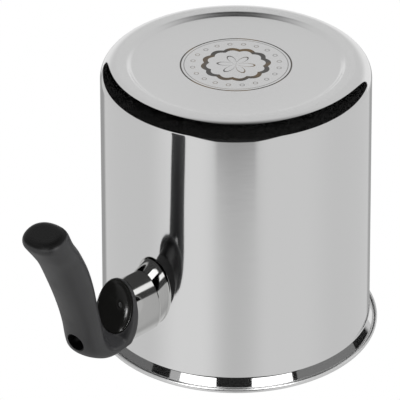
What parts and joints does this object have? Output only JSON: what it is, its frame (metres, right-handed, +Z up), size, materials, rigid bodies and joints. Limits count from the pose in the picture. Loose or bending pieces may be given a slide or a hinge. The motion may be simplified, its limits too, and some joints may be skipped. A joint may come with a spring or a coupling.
{
  "type": "milk boiler",
  "caption": "Double walled cylindrical milk boiler with a rolled rim, a hollow oval neck, and a hooked black handle whose mouth holds a whistle stopper.",
  "frame": {"origin": "centre of the flat round plate pressed into the underside; the standing ring round it lies 1.8 mm lower", "axes": "+Z up to the open rim, +X towards the handle, +Y completes the right hand frame"},
  "size_m": [0.2361, 0.1502, 0.153],
  "materials": {
    "satin_steel": "bright rolled stainless steel, polished at the shoulder",
    "polished_steel": "mirror polished stainless steel",
    "aluminium": "plain",
    "matte_black": "moulded phenolic, softly matte",
    "gloss_black": "moulded, glossy",
    "silicone": "matte"
  },
  "bodies": {
    "pot": {"outer_shell": "satin_steel", "inner_pot": "satin_steel", "base_core": "aluminium", "base_liner": "satin_steel", "neck_stub": "polished_steel", "neck_sleeve": "polished_steel", "neck_weld": "polished_steel", "neck_seal": "silicone", "clamp_bridge": "satin_steel", "clamp_nut": "satin_steel", "clamp_washer": "satin_steel", "clamp_screw": "satin_steel", "handle": "matte_black"},
    "whistle": {"whistle_cap": "gloss_black", "whistle_seal": "silicone", "whistle_front_disc": "polished_steel", "whistle_rear_disc": "polished_steel"}
  },
  "joints": [
    {"name": "whistle_pull", "type": "slide", "parent": "pot", "child": "whistle", "axis": [0.9659, 0, -0.2588], "range_m": [0, 0.008]}
  ]
}
